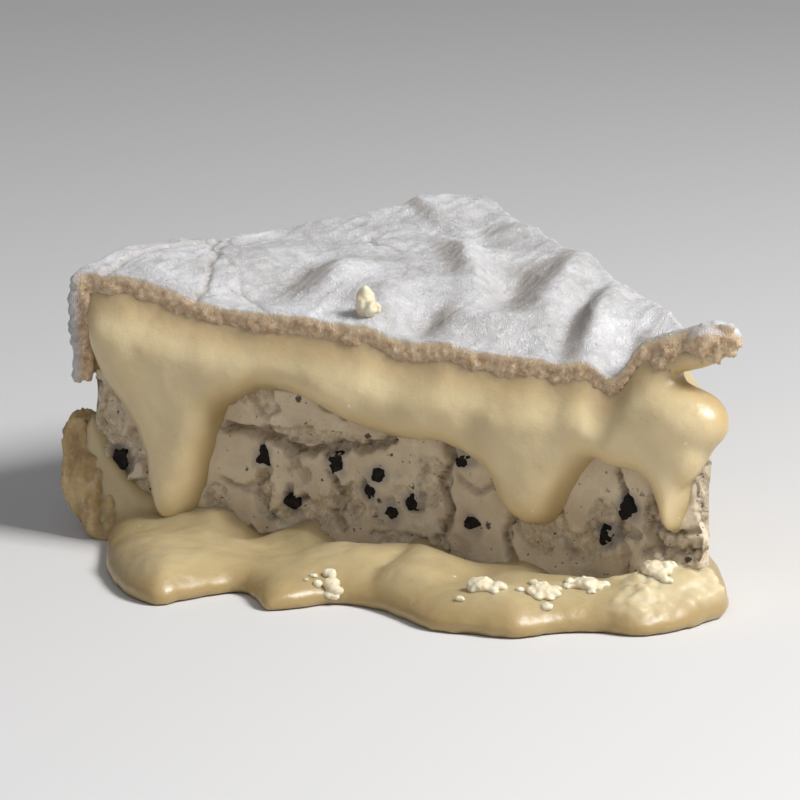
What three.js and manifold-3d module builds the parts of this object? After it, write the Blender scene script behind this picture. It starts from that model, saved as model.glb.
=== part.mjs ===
// A wedge cut from a round of soft-ripened cheese. The round was split level, spread with truffle cream and
// closed again, so the wedge is a stack: a top rind with its side wall, the upper paste, the filling, the
// lower paste, and a bottom rind with its side wall. The paste is ripe enough to run: it hangs down both cut
// faces in drips, and it has spread over the surface that the wedge stands on. Pieces of truffle show where
// the knife went through them, and crumbs lie on the spread paste and on the rind.
//
// Millimetres, +Z up. The model is drawn about the middle of the round, which is the wedge's tip: the front
// cut face is the plane y = 0 and runs from the tip towards -X, and the back cut face is turned from it by
// the wedge angle. The finished group is then moved so that its origin is at the middle of its underside.
import * as THREE from "three";
import { mergeVertices } from "three/addons/utils/BufferGeometryUtils.js";
import Module from "manifold-3d";

const wasm = await Module();
wasm.setup();

// The round and its layers.
const WHEEL_RADIUS = 115;
const WEDGE_ANGLE = THREE.MathUtils.degToRad(45);
const BOTTOM_CRUST = 2;
const LOWER_PASTE = 5;
const FILLING = 20;
const UPPER_PASTE = 13;
const TOP_CRUST = 3;
const CLEARANCE = 0.3; // between pieces that touch

// The rind's side wall, in an upper and a lower part with a band of filling showing between them.
const SIDE_WALL = 2.8; // thickness
const UPPER_WALL = 18; // how far the top rind's wall comes down
const LOWER_WALL = 20; // how far the bottom rind's wall goes up
const SHOULDER = 4; // radius where the top turns into the wall
const WALL_FOOT_INSET = 1; // how far the lower wall's foot is drawn in
const WALL_BULGE = 2.2; // how far the lower wall is pushed out half way up
const WALL_FLARE = 2.5; // how far the lower wall spreads past the cut faces

// How the cut edges have moved.
const RIND_OVERHANG = 1; // how far the top rind stands past the cut faces
const SAG_REACH = 12; // how far in from a cut edge its sinking dies out
const TIP_LIFT = 2.5; // how far the top rind's tip curls up
const TIP_LIFT_REACH = 8;
const FACE_INSET = 0.5; // how far the filling's cut faces lie behind the knife's cut
const FILLING_BLUNT = 3.7; // how much of the filling's sharp tip has crumbled away
const PASTE_BLUNT = 8.5; // how far the upper paste has drawn back from the tip
// Sinking of the top's cut edges: [share of the way from tip to rim, depth].
const FRONT_SAG = [
  [0, 0], [0.07, 0.5], [0.17, 7], [0.27, 5.5], [0.4, 5.5], [0.55, 4], [0.75, 2.5], [0.92, 0],
];
const BACK_SAG = [[0, 0], [0.2, 0.5], [0.38, 1], [0.5, -0.5], [0.65, -1], [0.9, 0]];
// Swellings along the top's rim: share of the way round from the front cut, height, and reach.
const RIM_SWELLINGS = [{ round: 0.2, rise: 2, reach: 16 }, { round: 0.95, rise: 2.6, reach: 20 }];

// Paste that hangs down a cut face.
const CURTAIN = 5.5; // full thickness
const CURTAIN_ROOT = 0.6; // thickness where it comes out from under the rind
const CURTAIN_FILLS_OVER = 12; // how far down it has filled out
const CURTAIN_RIM_GAP = 3; // how far it stays from the rind's side wall
const CURTAIN_END_TAPER = 8; // how far in from its ends it has filled out
const DRIP_BLEND = 2.5; // how softly a drip runs into the curtain
// Drips: how far along from tip to rim, how far the end stays above the lower paste, half width at the
// top, and how blunt the sides are.
const FRONT_DRIPS = [
  { at: 0.064, clear: 5.3, half: 4.5, blunt: 2.2 },
  { at: 0.268, clear: 4.4, half: 8, blunt: 2.4 },
  { at: 0.83, clear: CLEARANCE, half: 7.5, blunt: 2.8 },
];
const BACK_DRIPS = [
  { at: 0.2, clear: 7, half: 5.5, blunt: 2.4 },
  { at: 0.52, clear: 2, half: 7, blunt: 2.6 },
  { at: 0.78, clear: 8, half: 6, blunt: 2.2 },
];
// The curtain's edge between drips: [share of the way from tip to rim, drop below the upper paste].
const FRONT_HEM = [[0, 3], [0.15, 4.5], [0.45, 4.5], [0.6, 1], [0.72, -2], [0.95, 1]];
const BACK_HEM = [[0, 4], [0.3, 2], [0.45, 5], [0.65, 3], [0.95, 0]];
const FRONT_TIP_GAP = 3; // how far a curtain stays from the tip
const BACK_TIP_GAP = 9;
// The paste that has swelled out at the tip: its radius, and how far its middle is from the tip.
const TIP_BULGE = { radius: 6.3, fromTip: 7.3 };

// Paste that has spread over the surface.
const PUDDLE = 7; // thickness at the cut face
const PUDDLE_FALL = 0.2; // share of that thickness lost at its edge
const PUDDLE_EDGE = 4; // how far the top of its edge leans back
// Its outline: [share of the way from tip to rim, how far it reaches out from the cut face].
const FRONT_SPREAD = [
  [-0.015, 2], [0.02, 12], [0.08, 18], [0.15, 19], [0.24, 28], [0.31, 29], [0.4, 23],
  [0.48, 21], [0.55, 29], [0.63, 22], [0.69, 34], [0.76, 32], [0.85, 21], [0.94, 3],
];
const BACK_SPREAD = [
  [-0.015, 1], [0.04, 3], [0.12, 6], [0.23, 9], [0.34, 6], [0.46, 13], [0.58, 16],
  [0.68, 9], [0.78, 12], [0.88, 8], [0.94, 2],
];

// Truffle that the knife went through, on each cut face: how far along from tip to rim, share of the
// filling's height, half width and half height.
const TRUFFLE_DEPTH = 1.6; // half size into the filling
const FRONT_TRUFFLE = [
  [0.7, 0.46, 1.3, 1.3], [0.655, 0.12, 1.1, 1.2], [0.585, 0.48, 1.2, 1.6], [0.52, 0.42, 1.2, 0.9],
  [0.532, 0.27, 0.8, 1.1], [0.465, 0.22, 0.9, 1.2], [0.5, 0.13, 1.3, 0.9], [0.387, 0.62, 1.4, 1.1],
  [0.375, 0.12, 1.4, 0.9], [0.141, 0.38, 1.4, 1.5], [0.172, 0.14, 1, 1.3], [0.935, 0.3, 1.2, 1.4],
];
const BACK_TRUFFLE = [
  [0.15, 0.35, 1.2, 1.4], [0.27, 0.6, 1.3, 1], [0.36, 0.25, 1, 1.2], [0.45, 0.5, 1.5, 1.2],
  [0.6, 0.3, 1.1, 1.4], [0.68, 0.65, 1.3, 1.1], [0.8, 0.4, 1.4, 1.3], [0.9, 0.2, 1, 1],
];

// Crumbs: on the spread paste, [distance from the tip, distance out from the front face, size], and one that
// stands on the top rind.
const PUDDLE_CRUMBS = [[31, 21, 3], [22, 18, 2.4], [17, 12, 2.8], [9, 5, 2.6], [57, 21, 2]];
const RIND_CRUMB = { fromTip: 63, behindFront: 2.5, halfWidth: 1.3, halfHeight: 2.6 };

// Heights that follow from the layers.
const lowerPasteBottom = BOTTOM_CRUST + CLEARANCE;
const lowerPasteTop = lowerPasteBottom + LOWER_PASTE;
const fillingBottom = lowerPasteTop + CLEARANCE;
const fillingTop = fillingBottom + FILLING;
const upperPasteBottom = fillingTop + CLEARANCE;
const upperPasteTop = upperPasteBottom + UPPER_PASTE;
const topCrustBottom = upperPasteTop + CLEARANCE;
const height = topCrustBottom + TOP_CRUST;
const wallInside = WHEEL_RADIUS - SIDE_WALL;
const insideWall = wallInside - CLEARANCE; // radius of what fills the rind
const pasteInset = FACE_INSET - CLEARANCE; // how far behind the cut the paste meets the filling's space
const rooted = pasteInset + 2; // how far behind the cut a curtain or puddle runs into its own layer

// How finely curved surfaces are divided.
const WHEEL_SEGMENTS = 96;
const RING_STEP = 6;
const COLUMN_STEP = 2.6;

// ---- tables, solids and the shapes that the layers are made from ----

// A table of [share, value] rows read at a share, easing from row to row.
function readTable(table, share) {
  const next = table.findIndex(([at]) => at >= share);
  if (next === 0) return table[0][1];
  if (next < 0) return table.at(-1)[1];
  const [[share0, value0], [share1, value1]] = [table[next - 1], table[next]];
  return THREE.MathUtils.lerp(value0, value1, THREE.MathUtils.smoothstep(share, share0, share1));
}

function solid(geometry) {
  const bare = geometry.index ? geometry.toNonIndexed() : geometry.clone();
  for (const name of Object.keys(bare.attributes)) {
    if (name !== "position") bare.deleteAttribute(name);
  }
  const merged = mergeVertices(bare, 1e-4);
  const corners = [];
  for (let i = 0; i < merged.index.count; i += 3) {
    const [a, b, c] = [0, 1, 2].map((corner) => merged.index.getX(i + corner));
    if (a !== b && b !== c && c !== a) corners.push(a, b, c);
  }
  const vertProperties = merged.attributes.position.array;
  return new wasm.Manifold(new wasm.Mesh({ numProp: 3, vertProperties, triVerts: new Uint32Array(corners) }));
}

function geometryOf(shape) {
  const mesh = shape.getMesh();
  const geometry = new THREE.BufferGeometry();
  geometry.setAttribute("position", new THREE.BufferAttribute(mesh.vertProperties, 3));
  geometry.setIndex(new THREE.BufferAttribute(mesh.triVerts, 1));
  return geometry;
}

function moveVertices(geometry, move) {
  const at = geometry.attributes.position;
  const point = new THREE.Vector3();
  for (let i = 0; i < at.count; i++) {
    at.setXYZ(i, ...move(point.fromBufferAttribute(at, i)));
  }
  return geometry;
}

// A block whose points are placed by a function of its three shares, each from 0 to 1.
function shapedBlock(columns, rows, layers, placePoint) {
  const block = new THREE.BoxGeometry(1, 1, 1, columns, rows, layers).translate(0.5, 0.5, 0.5);
  return solid(moveVertices(block, ({ x, y, z }) => placePoint(x, y, z)));
}

// A round made by turning a profile of [radius, height] points about the wheel's axis.
function turned(profile) {
  const points = profile.map(([r, z]) => new THREE.Vector2(r, z));
  return new THREE.LatheGeometry(points, WHEEL_SEGMENTS).rotateX(Math.PI / 2);
}

function disc(radius, bottom, top) {
  return solid(turned([[0, bottom], [radius, bottom], [radius, top], [0, top]]));
}

// Radii from one to another, both ends included, about RING_STEP apart.
function rings(from, to) {
  const count = Math.max(1, Math.round(Math.abs(to - from) / RING_STEP));
  return Array.from({ length: count + 1 }, (_, i) => from + ((to - from) * i) / count);
}

// The space between the cut faces, each moved in by inset, with the tip cut off square at a distance.
function betweenCuts(inset, blunt = 0) {
  const half = WEDGE_ANGLE / 2;
  const toApex = inset / Math.sin(half);
  const apex = new THREE.Vector2(-Math.cos(half), Math.sin(half)).multiplyScalar(toApex);
  const front = new THREE.Vector2(-1, 0);
  const back = new THREE.Vector2(-Math.cos(WEDGE_ANGLE), Math.sin(WEDGE_ANGLE));
  const corner = (way, distance) => apex.clone().addScaledVector(way, distance);
  const cutBack = (blunt - toApex) / Math.cos(half);
  const tip = blunt > 0 ? [corner(front, cutBack), corner(back, cutBack)] : [apex];
  const far = 1.5 * WHEEL_RADIUS;
  const outline = new THREE.Shape([...tip, corner(back, far), corner(front, far)]);
  const options = { depth: 3 * height, bevelEnabled: false };
  return solid(new THREE.ExtrudeGeometry(outline, options).translate(0, 0, -height));
}

// What the filling takes up from a height to its top, with the clearance round it.
function fillingSpace(bottom) {
  const space = betweenCuts(pasteInset, FILLING_BLUNT - CLEARANCE);
  return disc(2 * WHEEL_RADIUS, bottom, upperPasteBottom).intersect(space);
}

// From the front face's place, with the wedge behind it, to the back face's.
function turnedToBack(shape) {
  return shape.transform(new THREE.Matrix4().makeRotationZ(Math.PI - WEDGE_ANGLE).toArray());
}

// A cut face's own shapes are drawn on the plane y = 0 with the wedge behind it. On the front face the tip
// is at the right-hand end, and on the back face, before it is turned into place, at the left-hand end.
const FACES = {
  front: {
    along: -1, turn: 0, toPlace: (shape) => shape, tipGap: FRONT_TIP_GAP,
    drips: FRONT_DRIPS, hem: FRONT_HEM, spread: FRONT_SPREAD,
  },
  back: {
    along: 1, turn: WEDGE_ANGLE, toPlace: turnedToBack, tipGap: BACK_TIP_GAP,
    drips: BACK_DRIPS, hem: BACK_HEM, spread: BACK_SPREAD,
  },
};

// Distance from the tip at a share of the way across a face's shape, from its left-hand end.
function distanceAcross({ along }, across, tipEnd, rimEnd) {
  return THREE.MathUtils.lerp(tipEnd, rimEnd, along < 0 ? 1 - across : across);
}

// ---- rinds ----

// How far the top has moved up or down at a point: it sinks along both cut edges, swells along its rim,
// and its tip curls up.
function settling(x, y) {
  const fromTip = Math.hypot(x, y);
  const fromBack = -x * Math.sin(WEDGE_ANGLE) - y * Math.cos(WEDGE_ANGLE);
  const fade = (distance, reach) => Math.exp(-((distance / reach) ** 2));
  const share = fromTip / WHEEL_RADIUS;
  const frontSink = readTable(FRONT_SAG, share) * fade(y, SAG_REACH);
  const backSink = readTable(BACK_SAG, share) * fade(fromBack, SAG_REACH);
  const swell = RIM_SWELLINGS.map(({ round, rise, reach }) => {
    const angle = Math.PI - round * WEDGE_ANGLE;
    const middle = new THREE.Vector2(WHEEL_RADIUS * Math.cos(angle), WHEEL_RADIUS * Math.sin(angle));
    return rise * fade(middle.distanceTo({ x, y }), reach);
  });
  return TIP_LIFT * fade(fromTip, TIP_LIFT_REACH) + swell[0] + swell[1] - frontSink - backSink;
}

// Settles a geometry in full at and above one height, and not at all at and below another.
function settled(geometry, still, full) {
  return moveVertices(geometry, ({ x, y, z }) => {
    const share = THREE.MathUtils.clamp((z - still) / (full - still), 0, 1);
    return [x, y, z + share * settling(x, y)];
  });
}

function makeTopRind() {
  // The underside has the upper paste's rings, so that the two stay parallel where they have settled.
  const underside = [...rings(0, insideWall), wallInside].map((r) => [r, topCrustBottom]);
  const wallFoot = height - UPPER_WALL;
  const wall = [[wallInside, wallFoot], [WHEEL_RADIUS, wallFoot]];
  const flat = WHEEL_RADIUS - SHOULDER;
  const corner = new THREE.Path().absarc(flat, height - SHOULDER, SHOULDER, 0, Math.PI / 2);
  const shoulder = corner.getPoints(2).map(({ x, y }) => [x, y]);
  const top = rings(flat, 0).map((r) => [r, height]);
  const round = turned([...underside, ...wall, ...shoulder, ...top.slice(1)]);
  return solid(settled(round, wallFoot, topCrustBottom)).intersect(betweenCuts(-RIND_OVERHANG));
}

function makeBottomRind() {
  const crust = disc(wallInside + SIDE_WALL / 2, 0, BOTTOM_CRUST).intersect(betweenCuts(FACE_INSET));
  const up = [0, 0.2, 0.4, 0.6, 0.8, 1];
  const lean = (share) => WALL_FOOT_INSET * (share - 1) + WALL_BULGE * Math.sin(Math.PI * share);
  const outside = up.map((share) => [WHEEL_RADIUS + lean(share), share * LOWER_WALL]);
  const inside = [[wallInside, LOWER_WALL], [wallInside, 0]];
  const wall = solid(turned([...outside, ...inside, outside[0]]));
  return crust.add(wall.intersect(betweenCuts(-WALL_FLARE)));
}

// ---- upper paste ----

function smoothMin(a, b, blend) {
  const overlap = Math.max(blend - Math.abs(a - b), 0) / blend;
  return Math.min(a, b) - (overlap * overlap * blend) / 4;
}

// Height of the curtain's lower edge at a distance from the tip.
function curtainEdge({ drips, hem }, distance) {
  const sheet = upperPasteBottom - readTable(hem, distance / WHEEL_RADIUS);
  return drips.reduce((edge, { at, clear, half, blunt }) => {
    const end = Math.max(PUDDLE, lowerPasteTop) + clear;
    const aside = Math.abs(distance - at * WHEEL_RADIUS) / half;
    const side = end + (sheet - end) * aside ** blunt;
    return Math.max(end, smoothMin(edge, side, DRIP_BLEND));
  }, sheet);
}

function makeCurtain(face) {
  const rimEnd = insideWall - CURTAIN_RIM_GAP;
  const columns = Math.round((rimEnd - face.tipGap) / COLUMN_STEP);
  return face.toPlace(shapedBlock(columns, 6, 2, (across, up, out) => {
    const distance = distanceAcross(face, across, face.tipGap, rimEnd);
    // Its top is drawn a little into the rind, whose underside is then cut off it.
    const settledBy = settling(-distance * Math.cos(face.turn), distance * Math.sin(face.turn));
    const top = topCrustBottom + settledBy + TOP_CRUST / 4;
    const down = (1 - up) * (top - curtainEdge(face, distance));
    const filled = THREE.MathUtils.smoothstep(down, 0, CURTAIN_FILLS_OVER);
    const towardsEdge = THREE.MathUtils.smoothstep(1 - up, 0.6, 1);
    const fromEnd = Math.min(distance - face.tipGap, rimEnd - distance);
    const ends = 0.35 + 0.65 * THREE.MathUtils.smoothstep(fromEnd, 0, CURTAIN_END_TAPER);
    const full = THREE.MathUtils.lerp(CURTAIN_ROOT, CURTAIN * ends, filled);
    const thickness = full * (1 - 0.45 * towardsEdge ** 2);
    return [face.along * distance, rooted - out * (thickness + rooted), top - down];
  }));
}

function makeUpperPaste(topRind) {
  const under = rings(0, insideWall).map((r) => [r, upperPasteBottom]);
  const over = rings(insideWall, 0).map((r) => [r, upperPasteTop]);
  const block = settled(turned([...under, ...over]), upperPasteBottom, upperPasteTop);
  const core = solid(block).intersect(betweenCuts(pasteInset, PASTE_BLUNT));
  const { radius, fromTip } = TIP_BULGE;
  const bulge = new THREE.SphereGeometry(radius, 18, 12);
  bulge.translate(-fromTip, 0, upperPasteBottom + radius / 2);
  // What hangs and swells stays outside the filling's space, and a little further under the rind than the
  // layer does.
  const underRind = topRind.translate([0, 0, -1.5 * CLEARANCE]);
  const hanging = makeCurtain(FACES.front).add(makeCurtain(FACES.back)).add(solid(bulge));
  return core.add(hanging.subtract(fillingSpace(0)).subtract(underRind));
}

// ---- lower paste ----

function makePuddle(face) {
  const [[tipShare], [rimShare]] = [face.spread[0], face.spread.at(-1)];
  const columns = Math.round(((rimShare - tipShare) * WHEEL_RADIUS) / COLUMN_STEP);
  return face.toPlace(shapedBlock(columns, 4, 3, (across, back, up) => {
    const distance = distanceAcross(face, across, tipShare * WHEEL_RADIUS, rimShare * WHEEL_RADIUS);
    const reach = readTable(face.spread, distance / WHEEL_RADIUS);
    const lean = Math.min(PUDDLE_EDGE, 0.8 * reach) * (1 - Math.sqrt(1 - up * up));
    const out = (1 - back) * (reach - lean + rooted);
    const thickness = PUDDLE * (1 - PUDDLE_FALL * (1 - back) ** 2);
    return [face.along * distance, rooted - out, up * thickness];
  }));
}

function makeLowerPaste() {
  const layer = disc(insideWall, lowerPasteBottom, lowerPasteTop).intersect(betweenCuts(0));
  // What has spread stays outside the spaces of the bottom crust and of the filling.
  const crustSpace = disc(2 * WHEEL_RADIUS, -height, lowerPasteBottom).intersect(betweenCuts(pasteInset));
  const spread = makePuddle(FACES.front).add(makePuddle(FACES.back));
  return spread.subtract(crustSpace).subtract(fillingSpace(lowerPasteTop)).add(layer);
}

// ---- truffle filling and the truffle in it ----

function makeTruffle(face, [at, level, halfWidth, halfHeight], grow = 0) {
  const lump = new THREE.IcosahedronGeometry(1, 1);
  lump.scale(halfWidth + grow, TRUFFLE_DEPTH + grow, halfHeight + grow);
  const behindCut = FACE_INSET + TRUFFLE_DEPTH / 3;
  lump.translate(face.along * at * WHEEL_RADIUS, behindCut, fillingBottom + level * FILLING);
  return face.toPlace(solid(lump));
}

function makeFilling() {
  const layer = disc(insideWall, fillingBottom, fillingTop).intersect(betweenCuts(FACE_INSET, FILLING_BLUNT));
  const pockets = truffle.map(({ face, row }) => makeTruffle(face, row, CLEARANCE));
  return pockets.reduce((filling, pocket) => filling.subtract(pocket), layer);
}

const truffle = [
  ...FRONT_TRUFFLE.map((row) => ({ face: FACES.front, row })),
  ...BACK_TRUFFLE.map((row) => ({ face: FACES.back, row })),
];

// ---- crumbs ----

// A crumb rests on its host: it is cut by the host's shape, moved up by the clearance.
function restingOn(host, lump) {
  return solid(lump).subtract(host.translate([0, 0, CLEARANCE]));
}

function makePuddleCrumb(lowerPaste, [distance, out, size]) {
  const reach = readTable(FRONT_SPREAD, distance / WHEEL_RADIUS);
  const surface = PUDDLE * (1 - PUDDLE_FALL * (out / reach) ** 2);
  const lump = new THREE.IcosahedronGeometry(1, 1).scale(size, 0.8 * size, 0.7 * size);
  return restingOn(lowerPaste, lump.translate(-distance, -out, surface + CLEARANCE));
}

function makeRindCrumb(topRind) {
  const { fromTip, behindFront, halfWidth, halfHeight } = RIND_CRUMB;
  const lump = new THREE.IcosahedronGeometry(1, 1).scale(halfWidth, halfWidth, halfHeight);
  const surface = height + settling(-fromTip, behindFront);
  return restingOn(topRind, lump.translate(-fromTip, behindFront, surface + 0.8 * halfHeight));
}

// ---- the wedge ----

const RIND = new THREE.MeshStandardMaterial({ color: 0xe6e2dc, roughness: 0.95, metalness: 0 });
const PASTE = new THREE.MeshStandardMaterial({ color: 0xdfc88f, roughness: 0.35, metalness: 0 });
const CREAM = new THREE.MeshStandardMaterial({ color: 0xbfae92, roughness: 0.8, metalness: 0 });
const TRUFFLE = new THREE.MeshStandardMaterial({ color: 0x17120f, roughness: 0.6, metalness: 0 });
const CRUMB = new THREE.MeshStandardMaterial({ color: 0xefe4c6, roughness: 0.7, metalness: 0 });

const layers = new THREE.Group();

function addPiece(name, shape, material) {
  const mesh = new THREE.Mesh(geometryOf(shape), material);
  mesh.name = name;
  layers.add(mesh);
}

function numbered(name, index) {
  return `${name}_${String(index + 1).padStart(2, "0")}`;
}

const topRind = makeTopRind();
const lowerPaste = makeLowerPaste();
addPiece("top_rind", topRind, RIND);
addPiece("upper_paste", makeUpperPaste(topRind), PASTE);
addPiece("truffle_filling", makeFilling(), CREAM);
addPiece("lower_paste", lowerPaste, PASTE);
addPiece("bottom_rind", makeBottomRind(), RIND);
truffle.forEach(({ face, row }, i) => {
  addPiece(numbered("truffle_piece", i), makeTruffle(face, row).intersect(betweenCuts(FACE_INSET)), TRUFFLE);
});
PUDDLE_CRUMBS.forEach((row, i) => addPiece(numbered("crumb", i), makePuddleCrumb(lowerPaste, row), CRUMB));
addPiece("rind_crumb", makeRindCrumb(topRind), CRUMB);

// The origin goes to the middle of the underside.
const wedge = new THREE.Group();
wedge.add(layers);
const box = new THREE.Box3().setFromObject(layers);
const middle = box.getCenter(new THREE.Vector3());
layers.position.set(-middle.x, -middle.y, -box.min.z);

export default wedge;
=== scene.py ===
# A wedge of ripe, truffle-filled brie. Each piece is modelled in millimetres about the middle of the round
# it was cut from, which is the wedge's tip: the front cut face is y = 0 and runs towards -X. serve() then
# puts it into the frame, in metres.
import itertools
import math

import bmesh
import bpy
import numpy as np
from mathutils import Matrix, Vector
from mathutils.bvhtree import BVHTree


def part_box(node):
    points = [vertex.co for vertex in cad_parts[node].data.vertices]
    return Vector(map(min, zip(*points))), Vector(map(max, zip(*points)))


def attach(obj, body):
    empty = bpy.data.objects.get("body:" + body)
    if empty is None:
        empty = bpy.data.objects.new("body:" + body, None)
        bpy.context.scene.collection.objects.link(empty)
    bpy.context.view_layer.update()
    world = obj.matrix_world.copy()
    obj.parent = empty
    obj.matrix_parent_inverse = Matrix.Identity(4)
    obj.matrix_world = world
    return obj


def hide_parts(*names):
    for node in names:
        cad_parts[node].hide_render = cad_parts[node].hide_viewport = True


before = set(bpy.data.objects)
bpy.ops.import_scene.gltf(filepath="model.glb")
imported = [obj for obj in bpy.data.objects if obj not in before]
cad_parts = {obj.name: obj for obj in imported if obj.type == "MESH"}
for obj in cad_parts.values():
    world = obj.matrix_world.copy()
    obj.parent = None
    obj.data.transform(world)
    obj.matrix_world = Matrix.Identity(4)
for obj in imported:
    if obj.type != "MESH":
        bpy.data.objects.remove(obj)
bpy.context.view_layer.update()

# ------------------------------------------------------------
# Top rind: a felted crust of white mould, 3 mm thick, with the upper part of the round's side wall. It has
# sunk over the running paste, and its cut edge is grainy and beige. It holds on by the paste under it.

WHEEL = 115.0  # radius of the round
WEDGE = math.radians(45)
TOP = 44.2
CRUST = 3.0
WALL = 2.3
OVERHANG = 1.0  # how far the crust stands out over the cut faces
PLATE = WHEEL + 2.8  # the crust's reach from the overhanging tip
APEX = (OVERHANG / math.tan(WEDGE / 2), -OVERHANG)
WALL_DROP = 18.0
RIM_ROUND = 1.2
RIND_VOXEL = 0.46

FILLING_RADIUS = 111.9
FILLING_INSET = 0.5  # how far the filling lies inside the cut planes
filling_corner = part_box("truffle_filling")[0] * 1000
TIP = Vector((filling_corner.x + FILLING_RADIUS, filling_corner.y - FILLING_INSET, 0))

# How far the top's cut edges have sunk: share of the way from tip to rim, and depth.
FRONT_SAG = [
    (0, 0), (0.07, 0.5), (0.17, 7), (0.27, 5.5), (0.4, 5.5), (0.55, 4), (0.75, 2.5), (0.92, 0), (1.1, 0),
]
BACK_SAG = [(0, 0), (0.2, 0.5), (0.38, 1), (0.5, -0.5), (0.65, -1), (0.9, 0), (1.1, 0)]
SAG_REACH = 12.0
# Swellings of the rim: place, height and reach.
RIM_SWELLINGS = [(-113.6, 18.0, 2.0, 16.0), (-84.3, 78.2, 2.6, 20.0)]
# Ridges and hollows: middle x and y, rise, half width, half length, and degrees turned from the y axis.
FOLDS = [
    (-39, 29, 3.6, 4.0, 17, 17), (-27, 13, 3.2, 3.8, 15, 17), (-50, 27, -3.8, 4.5, 17, 20),
    (-33.5, 18, -3.8, 3.4, 17, 17), (-20, 6, -1.8, 3.0, 10, 17), (-42, 8, 2.2, 4.0, 4.0, 0),
    (-36, 4, -1.8, 3.5, 4, 0), (-48, 6, 2.0, 4, 6, 0), (-56, 9, -2.4, 4, 8, 10),
    (-64, 10, 1.8, 4.5, 8, 10), (-61, 36, 2.6, 3, 18, 33), (-85, 14, -2.2, 6, 12, 10),
    (-75, 16, 2.2, 4.5, 14, 15), (-70, 56, -1.8, 4, 9, 40), (-92, 44, -0.8, 8, 10, 20),
    (-14, 1, 1.8, 3, 6, 10),
]
# The fold in front of the swollen back corner, and the raised ground behind it.
CORNER_FOLD = (-69.0, 52.0)
CORNER_RISE = 1.5
# Cracks in the mould, each a line of points, with its half width and depth.
CRACKS = [
    ([(-108, 36), (-104, 26), (-101, 22), (-97, 12), (-93.5, 5), (-92, -2)], 0.45, 0.8),
    ([(-101, 22), (-103, 29), (-107, 38)], 0.35, 0.5),
    ([(-101, 22), (-94, 16), (-88, 8), (-79, -1)], 0.3, 0.35),
    ([(-87, 50), (-83, 45), (-77, 41)], 0.4, 0.5),
    ([(-109.5, -2), (-109.8, 8), (-109.3, 18), (-106.5, 30)], 0.6, 0.9),
    ([(-70, 30), (-66, 22), (-67, 14)], 0.25, 0.25),
]


def points_of(mesh):
    at = np.empty(len(mesh.vertices) * 3)
    mesh.vertices.foreach_get("co", at)
    return at.reshape(-1, 3)


def normals_of(mesh):
    out = np.empty(len(mesh.vertices) * 3)
    mesh.vertices.foreach_get("normal", out)
    return out.reshape(-1, 3)


def opened(piece):
    """A piece's mesh, its points and its normals."""
    return piece.data, points_of(piece.data), normals_of(piece.data)


def put_points(mesh, at):
    mesh.vertices.foreach_set("co", np.ascontiguousarray(at).ravel())
    mesh.update()


def scattered(cell, salt=0):
    """A whole number below 2**32 for each cell, the same on every run."""
    bits = (cell[:, 0] * 73856093) ^ (cell[:, 1] * 19349663) ^ (cell[:, 2] * 83492791) ^ salt
    bits = ((bits ^ (bits >> 13)) * 1274126177) & 0xFFFFFFFF
    return ((bits ^ (bits >> 15)) * 2246822519) & 0xFFFFFFFF


def grain(at, size, seed=0):
    """A smooth random field from -1 to 1, with lumps about size across."""
    q = np.asarray(at) / size + 31.7 * seed + 100
    cell = np.floor(q).astype(np.int64)
    f = q - cell
    f = f * f * (3 - 2 * f)
    total = np.zeros(len(q))
    for corner in itertools.product((0, 1), repeat=3):
        share = np.prod(np.where(np.array(corner) == 1, f, 1 - f), axis=1)
        total += (scattered(cell + corner) / 2.0**31 - 1) * share
    return total


def curds(at, size, seed=0):
    """Packed round grains about size across: 1 in the middle of each, falling to 0 between them."""
    q = np.asarray(at) / size + 100
    cell = np.floor(q).astype(np.int64)
    near = np.full(len(q), 9.0)
    for step in itertools.product((-1, 0, 1), repeat=3):
        c = cell + step
        middle = c.astype(float)
        for axis in range(3):
            middle[:, axis] += scattered(c, (axis + 3 * seed + 1) * 7919) / 2.0**32
        near = np.minimum(near, ((q - middle) ** 2).sum(axis=1))
    return 1 - np.clip(np.sqrt(near), 0, 1)


def ease(x, low, high):
    t = np.clip((np.asarray(x, float) - low) / (high - low), 0, 1)
    return t * t * (3 - 2 * t)


def bell(x):
    return np.exp(-(x**2))


def read_table(table, share):
    """A table of (share, value) rows, easing from row to row."""
    value = np.full(np.shape(share), float(table[0][1]))
    for (s0, v0), (s1, v1) in zip(table, table[1:]):
        value = value + (v1 - v0) * ease(share, s0, s1)
    return value


def to_line(x, y, line):
    """Distance from each point to a line of points."""
    near = np.full(np.shape(x), 1e9)
    for (x0, y0), (x1, y1) in zip(line, line[1:]):
        dx, dy = x1 - x0, y1 - y0
        t = np.clip(((x - x0) * dx + (y - y0) * dy) / (dx * dx + dy * dy), 0, 1)
        near = np.minimum(near, np.hypot(x - x0 - t * dx, y - y0 - t * dy))
    return near


def round_at(r, angle):
    """The point of the round at a radius, and at an angle from the front cut face."""
    return -r * np.cos(angle), r * np.sin(angle)


def behind_back(x, y):
    """How far a point lies inside the back cut face."""
    return -x * math.sin(WEDGE) - y * math.cos(WEDGE)


def settling(x, y):
    """How far the top has moved up or down: sunk along the cuts, swollen at the rim, curled up at the tip."""
    from_tip = np.hypot(x, y)
    share = from_tip / WHEEL
    rise = 2.5 * bell(from_tip / 8)
    rise = rise - read_table(FRONT_SAG, share) * bell(y / SAG_REACH)
    rise = rise - read_table(BACK_SAG, share) * bell(behind_back(x, y) / SAG_REACH)
    for mx, my, height, reach in RIM_SWELLINGS:
        rise = rise + height * np.exp(-(((x - mx) ** 2 + (y - my) ** 2) / reach**2))
    return rise


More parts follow.
